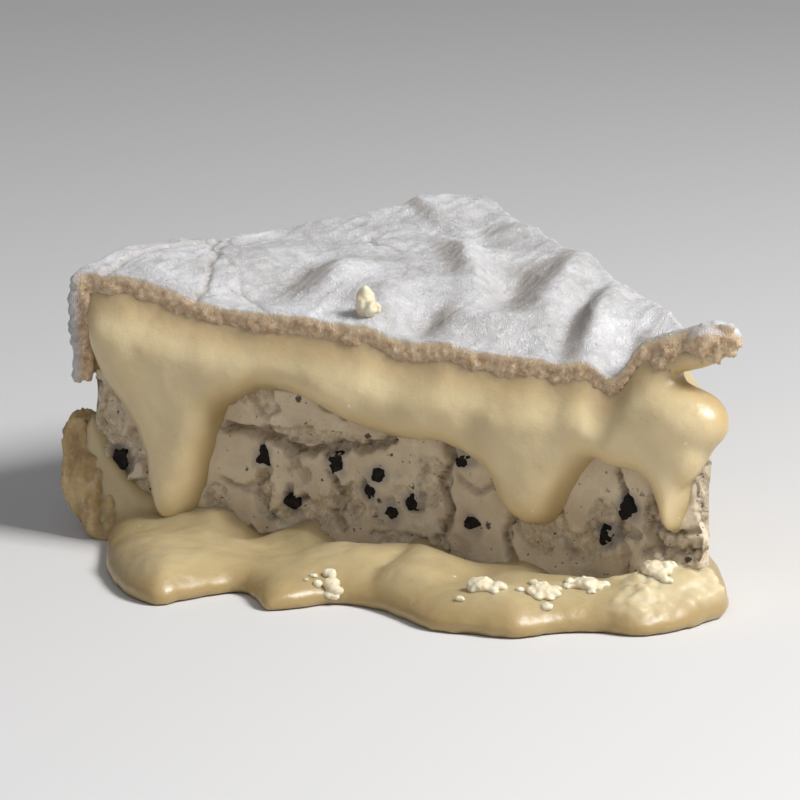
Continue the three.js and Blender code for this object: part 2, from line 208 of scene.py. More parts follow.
def folding(x, y):
    """The ridges and hollows of the settled top."""
    rise = np.zeros(np.shape(x))
    for mx, my, height, across, along, turn in FOLDS:
        c, s = math.cos(math.radians(turn)), math.sin(math.radians(turn))
        u = (x - mx) * c + (y - my) * s
        v = -(x - mx) * s + (y - my) * c
        rise = rise + height * np.exp(-((u / across) ** 2) - (v / along) ** 2)
    fx, fy = CORNER_FOLD
    behind = y - fy - 0.9 * np.abs(x - fx)
    rise = rise + CORNER_RISE * ease(behind, -2.5, 3) * np.exp(-np.clip(behind, 0, None) / 9)
    flat = np.stack([x, y, np.zeros_like(x)], axis=1)
    rise = rise + 0.5 * grain(flat, 9, 1) + 0.25 * grain(flat, 4, 2)
    return rise * ease(np.hypot(x, y), 4, 14)


def into(mesh, bm):
    bm.to_mesh(mesh)
    bm.free()
    return mesh


def baked(name, bm):
    return into(bpy.data.meshes.new(name), bm)


def placed(name, data):
    """A new object in the scene, at the origin."""
    thing = bpy.data.objects.new(name, data)
    bpy.context.scene.collection.objects.link(thing)
    return thing


def slab(name, columns, rows, place, keep=None):
    """A closed slab: a grid and its extruded copy, whose points place(u, v, side) puts where they belong."""
    bm = bmesh.new()
    bmesh.ops.create_grid(bm, x_segments=columns, y_segments=rows, size=0.5)
    if keep is not None:
        middles = np.array([f.calc_center_median()[:2] for f in bm.faces]) + 0.5
        kept = keep(middles[:, 0], middles[:, 1])
        bmesh.ops.delete(bm, geom=[f for f, k in zip(bm.faces[:], kept) if not k], context="FACES")
    copy = bmesh.ops.extrude_face_region(bm, geom=bm.faces[:])["geom"]
    lifted = [e for e in copy if isinstance(e, bmesh.types.BMVert)]
    bmesh.ops.translate(bm, verts=lifted, vec=(0, 0, 1))
    mesh = baked(name, bm)
    at = points_of(mesh)
    x, y, z = place(at[:, 0] + 0.5, at[:, 1] + 0.5, at[:, 2])
    put_points(mesh, np.stack(np.broadcast_arrays(x, y, z), axis=1))
    return facing_out(mesh)


def facing_out(mesh):
    bm = bmesh.new()
    bm.from_mesh(mesh)
    bmesh.ops.recalc_face_normals(bm, faces=bm.faces[:])
    if bm.calc_volume(signed=True) < 0:
        bmesh.ops.reverse_faces(bm, faces=bm.faces[:])
    return into(mesh, bm)


def fused(name, parts, voxel, smoothing=0):
    """One skin over several closed parts, as soft stuff that has run together, then smoothed."""
    bm = bmesh.new()
    for part in parts:
        bm.from_mesh(part)
        bpy.data.meshes.remove(part)
    rough = baked(name + "_rough", bm)
    piece = placed(name, rough)
    skin = piece.modifiers.new("skin", "REMESH")
    skin.mode = "VOXEL"
    skin.voxel_size = voxel
    mesh = bpy.data.meshes.new_from_object(piece.evaluated_get(bpy.context.evaluated_depsgraph_get()))
    piece.modifiers.clear()
    piece.data = mesh
    mesh.name = name
    bpy.data.meshes.remove(rough)
    smoothed(mesh, smoothing)
    return piece


def blob(middle, radii, turn=0.0):
    bm = bmesh.new()
    bmesh.ops.create_icosphere(bm, subdivisions=4, radius=1)
    matrix = Matrix.Translation(middle) @ Matrix.Rotation(math.radians(turn), 4, "Y")
    bmesh.ops.transform(bm, matrix=matrix @ Matrix.Diagonal((*radii, 1)), verts=bm.verts[:])
    return baked("blob", bm)


def smoothed(mesh, times):
    bm = bmesh.new()
    bm.from_mesh(mesh)
    axes = {"use_axis_x": True, "use_axis_y": True, "use_axis_z": True}
    for _ in range(times):
        bmesh.ops.smooth_vert(bm, verts=bm.verts[:], factor=0.5, **axes)
    into(mesh, bm)


def mark(mesh, name, values):
    attribute = mesh.attributes.new(name, "FLOAT", "POINT")
    attribute.data.foreach_set("value", np.clip(values, 0, 1).astype(np.float32))


def serve(piece, material, slot, *nodes):
    """Puts a finished piece into the frame, in place of its CAD nodes."""
    piece.data.transform(Matrix.Scale(0.001, 4) @ Matrix.Translation(TIP))
    piece.data.materials.clear()
    piece.data.materials.append(material)
    piece.data.polygons.foreach_set("use_smooth", [True] * len(piece.data.polygons))
    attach(piece, "root")
    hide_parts(*nodes)


def place_top_plate(u, v, side):
    """A sector about the overhanging tip: u runs from tip to rim, v from the front cut to the back one."""
    r = PLATE * u
    angle = v * WEDGE
    x = APEX[0] - r * np.cos(angle)
    y = APEX[1] + r * np.sin(angle)
    over = np.clip(r - (PLATE - RIM_ROUND), 0, RIM_ROUND) / RIM_ROUND
    turned_down = RIM_ROUND * (1 - np.sqrt(np.clip(1 - over**2, 0, 1)))
    z = TOP - CRUST * (1 - side) + settling(x, y) + folding(x, y) - turned_down * side
    return x, y, z


def place_top_wall(u, v, side):
    angle = v * (WEDGE + 0.02) - 0.01
    # It is thicker at its two cut ends.
    thick = WALL + 1.3 * bell(v / 0.035) + 0.8 * bell((v - 1) / 0.035)
    waves = 0.35 * np.sin(9 * v + 4 * u) - 0.8 * (1 - u) ** 2
    r = WHEEL + 0.5 - thick * (1 - side) + side * waves
    x, y = round_at(r, angle)
    foot = TOP - WALL_DROP + 1.2 * np.sin(17 * v) + 0.6 * np.sin(43 * v + 1)
    return x, y, foot + u * (TOP - 2 - foot + settling(x, y) + folding(x, y))


def make_top_rind():
    plate = slab("plate", 150, 90, place_top_plate)
    wall = slab("wall", 24, 140, place_top_wall)
    # At the tip the crust is thicker, and it has curled up and broken off.
    tip = [blob((-2.2, 0.8, 43.4), (5.4, 2.9, 2.7), -8), blob((-9, 0.6, 40.3), (5.4, 2.2, 2.1), -30)]
    piece = fused("top_rind", [plate, wall, *tip], RIND_VOXEL, 2)
    mesh, at, out = opened(piece)
    x, y, z = at.T
    surface = TOP + settling(x, y) + folding(x, y)
    below = surface - z
    front, back = y - APEX[1], behind_back(x, y) + OVERHANG
    near_cut = np.minimum(front, back)
    skin = ease(out[:, 2], 0.1, 0.6) * ease(-below, -2.2, -1.0)
    # The cut edge is torn into grains and small curls.
    edge = (1 - ease(near_cut, 0.5, 1.6)) * (1 - skin) * (0.35 + 0.65 * ease(below, 0.9, 1.5))
    torn = 0.75 * curds(at, 1.5, 1) + 0.45 * curds(at, 0.8, 2) + 0.35 * grain(at, 3, 3) - 0.45
    at = at + out * (edge * torn)[:, None]
    # The underside hangs down raggedly just behind the cut.
    ragged = (1 - ease(near_cut, 0, 3)) * (1 - ease(out[:, 2], -0.9, -0.3)) * ease(below, 1.5, 2.6)
    at[:, 2] -= ragged * (1.2 * curds(at, 2.4, 4) + 0.9 * grain(at, 3.5, 15) + 0.5 * grain(at, 1.1, 5) + 0.3)
    # Cracks, pores and the felt's own unevenness.
    wander = 0.5 * grain(at, 2.5, 6)
    cracked = np.zeros(len(at))
    for line, width, depth in CRACKS:
        groove = bell(to_line(x + wander, y + wander, line) / width)
        at[:, 2] -= skin * depth * groove
        cracked = np.maximum(cracked, groove * min(1, depth * 1.6))
    wrinkle = 1 - np.abs(grain(at * [1, 0.45, 1], 3.2, 7))
    at[:, 2] += skin * (0.30 * wrinkle**3 + 0.12 * grain(at, 1.3, 8))
    # The side wall is pitted and a little wavy.
    side = ease(np.hypot(x, y), WHEEL - 1.5, WHEEL - 0.5) * (1 - skin)
    creases = (1 - np.abs(grain(at * [0.5, 0.5, 1.3], 4, 13))) ** 4
    dented = 0.45 * grain(at * [1, 1, 0.4], 6, 9) - 0.5 * creases
    at += out * (side * (dented + 0.25 * curds(at, 1.3, 10)))[:, None]
    # The tip's end has broken away unevenly.
    tip = 1 - ease(np.hypot(x, y), 2, 6)
    at += out * (tip * (0.9 * grain(at, 2.2, 11) + 0.5 * curds(at, 1.1, 12) - 0.3))[:, None]
    put_points(mesh, at)
    mark(mesh, "skin", np.maximum(skin, side))
    # Painted shade: the mould is darkened on slopes that face away from the key light, and in hollows.
    step = folding(x + 1.5, y) + settling(x + 1.5, y) - folding(x - 1.5, y) - settling(x - 1.5, y)
    painted_shade = 0.9 * ease(step, 0.12, 1.3) + 0.2 * ease(-folding(x, y), 0.5, 2.5)
    # This mark holds the cracks, tan in their own colour, together with the painted shade.
    mark(mesh, "cracks_and_shade", skin * (cracked + painted_shade))
    mark(mesh, "lip", (1 - skin) * (1 - ease(below + 0.3 * grain(at, 2, 14), 0.8, 1.5)) * (1 - side))
    return piece


def add(nodes, kind, **settings):
    """A node with its settings. A setting named by a socket, as in Scale=3, goes to that socket."""
    node = nodes.new(kind)
    for key, value in settings.items():
        if hasattr(node, key):
            setattr(node, key, value)
        else:
            node.inputs[key.replace("_", " ")].default_value = value
    return node


def make_group(name, inputs, outputs):
    """A shader node group: its tree, the sockets its inputs come in by, and those its outputs leave by."""
    tree = bpy.data.node_groups.new(name, "ShaderNodeTree")
    tree.interface.new_socket(name="Position", in_out="INPUT", socket_type="NodeSocketVector")
    for socket, value in inputs.items():
        item = tree.interface.new_socket(name=socket, in_out="INPUT", socket_type="NodeSocketFloat")
        item.default_value = value
    for socket in outputs:
        tree.interface.new_socket(name=socket, in_out="OUTPUT", socket_type="NodeSocketFloat")
    return tree, tree.nodes.new("NodeGroupInput").outputs, tree.nodes.new("NodeGroupOutput").inputs


def make_mottling():
    """Unevenness that every piece has: its height, and a mask that rises to Share from Low to High."""
    values = {"Scale": 1.0, "Detail": 5.0, "Roughness": 0.6, "Low": 0.35, "High": 0.65, "Share": 1.0}
    tree, given, result = make_group("mottling", values, ("Height", "Mask"))
    noise = tree.nodes.new("ShaderNodeTexNoise")
    ramp = tree.nodes.new("ShaderNodeMapRange")
    tree.links.new(given["Position"], noise.inputs["Vector"])
    for socket in ("Scale", "Detail", "Roughness"):
        tree.links.new(given[socket], noise.inputs[socket])
    for socket, target in (("Low", "From Min"), ("High", "From Max"), ("Share", "To Max")):
        tree.links.new(given[socket], ramp.inputs[target])
    tree.links.new(noise.outputs["Fac"], ramp.inputs["Value"])
    tree.links.new(noise.outputs["Fac"], result["Height"])
    tree.links.new(ramp.outputs["Result"], result["Mask"])
    return tree


def make_specks():
    """Scattered specks, such as pores or chopped truffle: a mask, Share inside Inner and 0 past Outer."""
    values = {"Scale": 1.0, "Wobble": 0.0, "Inner": 0.05, "Outer": 0.1, "Share": 1.0}
    tree, given, result = make_group("specks", values, ("Mask",))
    ragged = add(tree.nodes, "ShaderNodeTexNoise", Scale=1.4, Detail=2.0)
    shift = add(tree.nodes, "ShaderNodeVectorMath", operation="SCALE")
    moved = add(tree.nodes, "ShaderNodeVectorMath", operation="ADD")
    cells = tree.nodes.new("ShaderNodeTexVoronoi")
    ramp = add(tree.nodes, "ShaderNodeMapRange", To_Max=0.0)
    for source, target in (
            (given["Position"], ragged.inputs["Vector"]), (ragged.outputs["Color"], shift.inputs[0]),
            (given["Wobble"], shift.inputs["Scale"]), (given["Position"], moved.inputs[0]),
            (shift.outputs[0], moved.inputs[1]), (moved.outputs[0], cells.inputs["Vector"]),
            (given["Scale"], cells.inputs["Scale"]), (cells.outputs["Distance"], ramp.inputs["Value"]),
            (given["Inner"], ramp.inputs["From Min"]), (given["Outer"], ramp.inputs["From Max"]),
            (given["Share"], ramp.inputs["To Min"]), (ramp.outputs["Result"], result["Mask"])):
        tree.links.new(source, target)
    return tree


MOTTLING = make_mottling()
SPECKS = make_specks()


class Look:
    """A piece's material: its nodes, its shader, and the place on the piece in millimetres."""

    def __init__(self, name):
        self.material = bpy.data.materials.new(name)
        self.material.use_nodes = True
        self.nodes, self.links = self.material.node_tree.nodes, self.material.node_tree.links
        self.shader = self.nodes["Principled BSDF"]
        scaled = add(self.nodes, "ShaderNodeVectorMath", operation="MULTIPLY")
        scaled.inputs[1].default_value = (1000, 1000, 1000)
        self.links.new(add(self.nodes, "ShaderNodeTexCoord").outputs["Object"], scaled.inputs[0])
        self.mm = scaled.outputs[0]

    def feed(self, socket, value):
        """Links a socket to the input, or sets the input to a value."""
        if isinstance(value, bpy.types.NodeSocket):
            self.links.new(value, socket)
        else:
            socket.default_value = value

    def grouped(self, tree, values):
        node = add(self.nodes, "ShaderNodeGroup", node_tree=tree)
        self.links.new(self.mm, node.inputs["Position"])
        for name, value in values.items():
            node.inputs[name].default_value = value
        return node.outputs

    def mottled(self, **values):
        return self.grouped(MOTTLING, values)

    def specks(self, **values):
        return self.grouped(SPECKS, values)["Mask"]

    def ramp(self, value, low, high, to_low=0.0, to_high=1.0):
        node = add(self.nodes, "ShaderNodeMapRange")
        for index, given in enumerate((value, low, high, to_low, to_high)):
            self.feed(node.inputs[index], given)
        return node.outputs["Result"]

    def mask(self, name, most=1.0):
        """A mask that is marked on the mesh, from 0 to most."""
        value = add(self.nodes, "ShaderNodeAttribute", attribute_name=name).outputs["Fac"]
        return value if most == 1.0 else self.ramp(value, 0, 1, 0, most)

    def mix(self, share, a, b):
        """A colour mixed from two, each a colour or a socket, by a socket's share of the second."""
        node = add(self.nodes, "ShaderNodeMix", data_type="RGBA")
        for index, value in ((0, share), (6, a), (7, b)):
            self.feed(node.inputs[index], (*value, 1) if isinstance(value, (tuple, list)) else value)
        return node.outputs[2]

    def sum(self, *terms):
        """The sum of (socket, factor) terms."""
        total = 0.0
        for socket, factor in terms:
            node = add(self.nodes, "ShaderNodeMath", operation="MULTIPLY_ADD")
            for index, value in enumerate((socket, factor, total)):
                self.feed(node.inputs[index], value)
            total = node.outputs[0]
        return total

    def shade(self, **inputs):
        """Gives the shader's inputs their values or sockets. Base_Color is for Base Color."""
        for name, value in inputs.items():
            self.feed(self.shader.inputs[name.replace("_", " ")], value)

    def bump(self, height, distance, strength):
        node = add(self.nodes, "ShaderNodeBump", Strength=strength, Distance=distance)
        self.links.new(height, node.inputs["Height"])
        self.shade(Normal=node.outputs[0])


def make_rind_material():
    look = Look("white mould rind")
    # Mould: white, thinner and greyer in patches, with tan pores and tan cracks, and painted shade on the
    # slopes that face away from the key light and in hollows.
    patches = look.mottled(Scale=0.09, Low=0.38, High=0.66)["Mask"]
    mould = look.mix(patches, (0.56, 0.545, 0.535), (0.82, 0.81, 0.82))
    cloudy = look.mottled(Scale=0.45, Detail=6, Roughness=0.7, Low=0.5, High=0.75, Share=0.35)["Mask"]
    mould = look.mix(cloudy, mould, (0.46, 0.42, 0.38))
    pore = look.specks(Scale=0.42, Inner=0.05, Outer=0.17, Share=0.6)
    mould = look.mix(pore, mould, (0.42, 0.31, 0.2))
    # Tan cracks, and painted shade on slopes facing away from the key light and in hollows.
    mould = look.mix(look.mask("cracks_and_shade", 0.62), mould, (0.36, 0.29, 0.22))
    tuft = look.specks(Scale=0.8, Inner=0.08, Outer=0.22, Share=0.8)
    mould = look.mix(tuft, mould, (0.88, 0.88, 0.89))
    # Its fibres lie across each other in curls.
    twist = add(look.nodes, "ShaderNodeTexNoise", Scale=0.35, Detail=2.0)
    swirl = add(look.nodes, "ShaderNodeVectorMath", operation="MULTIPLY_ADD")
    fibres = add(look.nodes, "ShaderNodeTexWave", Scale=0.9, Distortion=9.0, Detail=3.0, Detail_Scale=1.6)
    look.feed(twist.inputs["Vector"], look.mm)
    for index, value in enumerate((twist.outputs["Color"], (6, 6, 6), look.mm)):
        look.feed(swirl.inputs[index], value)
    look.feed(fibres.inputs["Vector"], swirl.outputs[0])
    felt = look.mottled(Scale=2.6, Detail=6, Roughness=0.75)["Height"]
    # Cut edge: beige crumb with a cream line under the mould.
    crumb = look.mottled(Scale=0.8, Detail=6, Roughness=0.7, High=0.68)
    cut = look.mix(crumb["Mask"], (0.50, 0.29, 0.135), (0.90, 0.72, 0.49))
    cut = look.mix(look.mask("lip"), cut, (0.76, 0.58, 0.37))
    look.shade(
        Base_Color=look.mix(look.mask("skin"), cut, mould), Roughness=0.85, Subsurface_Weight=0.2,
        Subsurface_Radius=(1.0, 0.7, 0.45), Subsurface_Scale=0.0015, Sheen_Weight=0.25, Sheen_Roughness=0.6)
    fibre = fibres.outputs["Fac"]
    height = look.sum((fibre, 0.6), (felt, 1.0), (crumb["Height"], 0.6), (pore, -1.0), (tuft, 0.6))
    look.bump(height, 0.0003, 0.75)
    return look.material


serve(make_top_rind(), make_rind_material(), "rind", "top_rind")

# ------------------------------------------------------------
# Upper paste: ripe, running cheese between the top rind and the filling. It has slid out over both cut
# faces as a thick skin with hanging drips, and it has swelled out round the tip.

PASTE_VOXEL = 0.5
PASTE_LOW, PASTE_HIGH = 27.9, 40.9
CURTAIN = 5.2
MENISCUS = 4.2  # how far in from its edge a curtain reaches its full thickness
FACE_STEP = 0.55  # spacing of the grid that a curtain or a spill is laid out on

# Outline of each curtain on its cut face: distance from the tip, and height.
FRONT_OUTLINE = [
    (2.2, 30), (4.6, 33.8), (7.6, 36), (8.5, 41), (14, 46), (40, 46), (80, 46), (106, 46), (111.8, 44),
    (112.6, 40), (112, 35), (109, 28), (104.6, 22.6), (101.6, 17), (100.5, 11), (99.2, 6.4), (96.8, 4.6),
    (93.8, 6.2), (91.8, 10), (90.6, 15), (88.9, 21), (87.6, 24.6), (84, 27), (79.6, 29),
    (75, 28.4), (68.6, 26.6), (61.6, 24), (54.8, 22.9), (48.4, 23.1), (43, 21.6), (39.2, 19),
    (37, 14.8), (34.6, 12.2), (31.5, 11.4), (28.8, 12.6), (26.6, 16.2), (24.8, 19.4), (22.8, 22.6),
    (21, 23.4), (17.6, 22.2), (13.2, 21.6), (10.8, 18.6), (9.6, 15), (8.2, 12.4), (6.9, 14), (6, 18),
    (5, 22), (3.4, 24.2), (2.2, 26.6),
]
BACK_OUTLINE = [
    (14, 31), (20, 34), (26, 37), (28, 41), (31, 46), (40, 46), (80, 46), (104, 46), (110, 43), (109, 33),
    (105, 28), (97, 26), (94, 20), (91.5, 14.6), (89, 13.6), (86.6, 15.4),
    (84.5, 21), (81, 24.6), (74, 25), (68, 23), (65, 17), (62.5, 10.5), (59.5, 8.8), (56.5, 10.6),
    (54.4, 17), (51, 22.5), (44, 24.5), (36, 25.4), (29, 24), (26.4, 18.5), (24, 14.4), (21.6, 14.2),
    (19.6, 18), (17.6, 23), (15, 25.6), (13, 28),
]


def softened(outline, steps=4):
    """A smooth closed line through the outline's points."""
    p = np.array(outline, float)
    before, after, later = np.roll(p, 1, 0), np.roll(p, -1, 0), np.roll(p, -2, 0)
    line = []
    for t in np.arange(steps) / steps:
        line.append(0.5 * (2 * p + (after - before) * t + (2 * before - 5 * p + 4 * after - later) * t**2
                           + (3 * p - before - 3 * after + later) * t**3))
    line = np.stack(line, axis=1).reshape(-1, 2)
    return np.vstack([line, line[:1]])


def depth_inside(x, y, line):
    """Distance to a closed line, positive inside it."""
    inside = np.zeros(np.shape(x), bool)
    for (x0, y0), (x1, y1) in zip(line, line[1:]):
        crosses = (y0 > y) != (y1 > y)
        inside ^= crosses & (x < (x1 - x0) * (y - y0) / (y1 - y0 + 1e-12) + x0)
    return np.where(inside, 1, -1) * to_line(x, y, line)


def on_face(distance, out, back):
    """From a face's own distance from the tip and distance out of the cut, to x and y."""
    distance, out = np.broadcast_arrays(np.asarray(distance, float), out)
    if not back:
        return -distance, -out
    c, s = math.cos(WEDGE), math.sin(WEDGE)
    return -distance * c + out * s, distance * s + out * c


def under_rind(distance, back):
    x, y = on_face(distance, 0, back)
    return TOP - CRUST + settling(x, y) + folding(x, y)


def curtain_thickness(distance, height, line, back):
    inside = depth_inside(distance, height, line)
    rounded = np.sqrt(np.clip(1 - (1 - np.clip(inside / MENISCUS, 0, 1)) ** 2, 0, 1))
    full = CURTAIN * (0.14 + 0.86 * ease(under_rind(distance, back) - height, -1.0, 8))
    at = np.stack([distance, height * 0.45, np.full_like(distance, 7.0 * back)], axis=1)
    full = full * (1 + 0.16 * grain(at, 8, 21) + 0.08 * grain(at, 3.5, 22))
    return np.where(inside > 0, full * rounded, -0.9 * np.clip(-inside, 0, 1.2))


def sheet(name, line, margin, edge, place):
    """A slab over the inside of a closed line, to where its depth inside the line falls to edge."""
    low, high = line.min(axis=0) - margin, line.max(axis=0) + margin
    columns, rows = (int(n) for n in (high - low) / FACE_STEP)

    def where(u, v):
        return low[0] + u * (high[0] - low[0]), low[1] + v * (high[1] - low[1])

    def put(u, v, side):
        return place(*where(u, v), side)

    def keep(u, v):
        return depth_inside(*where(u, v), line) > edge

    return slab(name, columns, rows, put, keep)


def make_curtain(outline, back):
    line = softened(outline)

    def place(distance, height, side):
        height = np.minimum(height, under_rind(distance, back) + 0.8)
        thickness = curtain_thickness(distance, height, line, back)
        x, y = on_face(distance, np.where(side > 0.5, thickness, -2.2), back)
        return x, y, height

    return sheet("curtain", line, 1, -0.5, place)


def place_paste_layer(u, v, side):
    angle = (0.01 + 0.98 * v) * WEDGE
    # Under the curled tip it has pulled back to a slanting hollow, deeper at the back.
    start = 8.6 / (0.893 * np.cos(angle) - 0.45 * np.sin(angle))
    r = start + (WHEEL - WALL + 0.6 - start) * u
    x, y = round_at(r, angle)
    top = PASTE_HIGH + settling(x, y) + folding(x, y)
    return x, y, np.where(side > 0.5, top + 0.25, PASTE_LOW - 0.4)


def make_upper_paste():
    layer = slab("layer", 120, 60, place_paste_layer)
    curtains = [make_curtain(FRONT_OUTLINE, False), make_curtain(BACK_OUTLINE, True)]
    # The swelling at the tip, what it hangs by, and the paste that clings under the rind's tip.
    swelling = [
        blob((-8.6, 0.3, 30.4), (9.5, 6.3, 5.8)), blob((-6.4, -1.4, 25.6), (4.0, 3.6, 5.0)),
        blob((-11.0, 1.5, 36.8), (3.5, 3.2, 5.2)), blob((-5.8, 0.5, 40.4), (6.6, 2.6, 2.1), -14),
        blob((-16, 1.5, 29), (8, 5, 4.5)),
    ]
    piece = fused("upper_paste", [layer, *curtains, *swelling], PASTE_VOXEL, 14)
    mesh, at, out = opened(piece)
    at += out * (0.10 * grain(at, 2.6, 23) + 0.04 * grain(at, 1.1, 24))[:, None]
    put_points(mesh, at)
    x, y, z = at.T
    mark(mesh, "thick", ease(np.maximum(-y, -behind_back(x, y)), -0.5, 4.5))
    mark(mesh, "smear", 1 - ease(TOP - CRUST + settling(x, y) + folding(x, y) - z, 0.2, 5))
    return piece


def make_paste_material(name, thin, thick, gloss):
    """Wet, half-clear cheese, deeper and darker near the cut face or board, and where smeared with rind."""
    look = Look(name)
    body = look.mix(look.mask("thick"), thin, thick)
    cloud = look.mottled(Scale=0.07, Detail=4, Low=0.4, High=0.7, Share=0.35)["Mask"]
    body = look.mix(cloud, body, [0.86 * c for c in thin])
    body = look.mix(look.mask("smear"), body, (0.55, 0.40, 0.22))
    body = look.mix(look.mask("curdled", 0.35), body, (0.82, 0.74, 0.53))
    body = look.mix(look.specks(Scale=0.16, Inner=0.02, Outer=0.06, Share=0.7), body, (0.95, 0.9, 0.78))
    wet = look.mottled(Scale=0.3, Roughness=0.65, Low=0.3, High=0.7, Share=0.24)
    curdled = look.mask("curdled")
    dull = look.sum((wet["Mask"], 1.0), (curdled, 0.25))
    look.shade(
        Base_Color=body, Roughness=look.ramp(dull, 0, 1, gloss - 0.08, gloss + 0.92), Subsurface_Weight=0.55,
        Subsurface_Radius=(1.0, 0.62, 0.28), Subsurface_Scale=0.004,
        Coat_Weight=look.ramp(curdled, 0, 1, 0.4, 0.15), Coat_Roughness=0.32)
    fine = look.mottled(Scale=1.6)["Height"]
    look.bump(look.sum((wet["Height"], 1.0), (fine, 0.25)), 0.00035, 0.55)
    return look.material


UPPER_PASTE = make_paste_material("running upper paste", (0.52, 0.385, 0.185), (0.69, 0.565, 0.335), 0.34)
serve(make_upper_paste(), UPPER_PASTE, "paste", "upper_paste")

# ------------------------------------------------------------
# Truffle filling: a layer of cream cheese, 20 mm deep, mixed with chopped black truffle. The knife smeared
# it smooth in places and tore it into curds in others, and it has cracked as the wedge settled.

FILLING_LOW, FILLING_HIGH = 7.0, 28.2
FILLING_BLUNT = 3.7  # how much of its sharp tip has rubbed off
FILLING_STEP = 0.36
# Cracks on the front face, each a line of (distance from the tip, height), with half width and depth.
FILLING_CRACKS = [
    ([(88, 21), (84, 20.9), (79, 20.2), (75, 19), (71, 18.6), (66.8, 19.7), (62.5, 20.2), (57, 22)],
     0.7, 3.2),
    ([(47.5, 23.5), (46.5, 20), (48.5, 16), (46.6, 12), (48, 8)], 0.8, 2.4),
    ([(68, 15), (66, 11.5), (68, 8.6), (66, 6)], 0.6, 1.8),
    ([(36.6, 18), (35.6, 13), (37.2, 8), (36, 5)], 0.7, 2.0),
    ([(45, 17), (42, 15.2), (39, 16.4), (36, 15.6)], 0.5, 1.3),
    ([(18, 21), (16.6, 17), (17.8, 12), (15.5, 8), (16.4, 5)], 0.5, 1.5),
    ([(12, 22), (11, 17), (12.5, 12.5), (10.5, 9)], 0.6, 1.7),
    ([(12.5, 13), (8.5, 12.4), (4, 13.2)], 0.5, 1.4), ([(11, 9.6), (7, 9.2), (3, 10)], 0.4, 1.2),
    ([(81, 20), (79.5, 15), (81.5, 11), (80, 8)], 0.5, 1.2), ([(88, 12), (84, 11), (81, 12)], 0.5, 1.2),
]
# Height of the spread paste against the front face: distance from the tip, and height.
FRONT_FOOT = [
    (-5, 8), (3, 8.4), (10, 7.4), (20, 3.8), (28, 3.2), (34, 5.4), (38, 4.8), (43, 3.2), (47, 4.6), (51, 6.8),
    (60, 4.4), (66, 3.6), (72, 7.2), (76, 6.4), (80, 3.4), (85, 6), (88, 9.4), (93, 8), (98, 6.4), (112, 6.4),
]
# Places on the front face that the knife tore open: distance from the tip, height, half width, half height.
TORN = [
    (31, 10, 4.5, 3.6), (70, 21.2, 15, 1.3), (49.5, 16, 3, 5), (7, 10, 5, 5), (24, 8, 4, 2.4), (89, 9, 3, 3),
    (109, 22, 2, 6), (74, 7, 7, 1.6), (66, 9, 1.8, 4), (81, 11, 1.6, 5), (56, 6, 6, 1.2), (3, 18, 2.4, 6),
    (20, 14, 2, 3), (12, 15, 1.6, 4),
]


def filling_outline():
    """Points round the layer with their outward directions, and where each lies on its face."""
    half = WEDGE / 2
    start = (FILLING_BLUNT - FILLING_INSET / math.sin(half)) / math.cos(half) + 1.2
    rim = FILLING_RADIUS - 0.1
    front = np.arange(start, rim, FILLING_STEP)
    arc = np.arange(0.3, 44.7, math.degrees(FILLING_STEP / rim))
    back = front[::-1]
    rows = [(-d, FILLING_INSET, 0, -1, d, 0) for d in front]
    for a in np.radians(arc):
        rows.append((-rim * math.cos(a), rim * math.sin(a), -math.cos(a), math.sin(a), 200 + rim * a, 1))
    c, s = math.cos(WEDGE), math.sin(WEDGE)
    rows += [(-d * c - FILLING_INSET * s, d * s - FILLING_INSET * c, s, c, d + 400, 2) for d in back]
    ends = np.array(rows[-1][:2]), np.array(rows[0][:2])
    for t in np.arange(0.15, 0.95, 0.15):
        x, y = ends[0] * (1 - t) + ends[1] * t
        rows.append((x, y, math.cos(half), -math.sin(half), 600 + 4 * t, 3))
    return np.array(rows)


def place_of(node):
    """Middle and half size of a CAD node, in the round's own millimetres."""
    low, high = (corner * 1000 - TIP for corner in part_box(node))
    return (low + high) / 2, (high - low) / 2


TRUFFLES = [place_of(f"truffle_piece_{number:02d}") for number in range(1, 21)]


def filling_relief(at, along, height, face):
    """How far the filling's walls stand out or in, and how torn they are."""
    plates = grain(at, 8.5, 31) + 0.5 * grain(at, 3.4, 32) + 0.3 * grain(at, 1.4, 43)
    front = face == 0
    for distance, middle, half_width, half_height in TORN:
        spot = np.exp(-((along - distance) / half_width) ** 2 - ((height - middle) / half_height) ** 2)
        plates = plates - front * 1.5 * ease(spot + 0.3 * grain(at, 2.4, 42), 0.3, 0.8)
    plates = plates - 0.8 * (face == 1) - 1.2 * (face == 3)
    torn = 1 - ease(plates, -0.62, -0.5)
    curled = bell((plates + 0.5) / 0.12)
    smooth = 0.6 * grain(at, 8, 34) + 0.4 * grain(at, 2.6, 35) + 0.14 * grain(at, 1.1, 36) + 0.4 * curled
    broken = -2.1 + 1.7 * curds(at, 2.1, 37) + 0.8 * curds(at, 1.0, 38) + 0.4 * grain(at, 3, 39)
    out = smooth * (1 - torn) + broken * torn
    for line, width, depth in FILLING_CRACKS:
        wander = 0.6 * grain(at, 1.5, 40) + 0.25 * grain(at, 0.7, 41)
        gap = np.exp(-((to_line(along + wander, height + wander, line) / width) ** 4))
        out = out - front * depth * gap
        torn = np.maximum(torn, front * 0.7 * gap)
    return out, torn


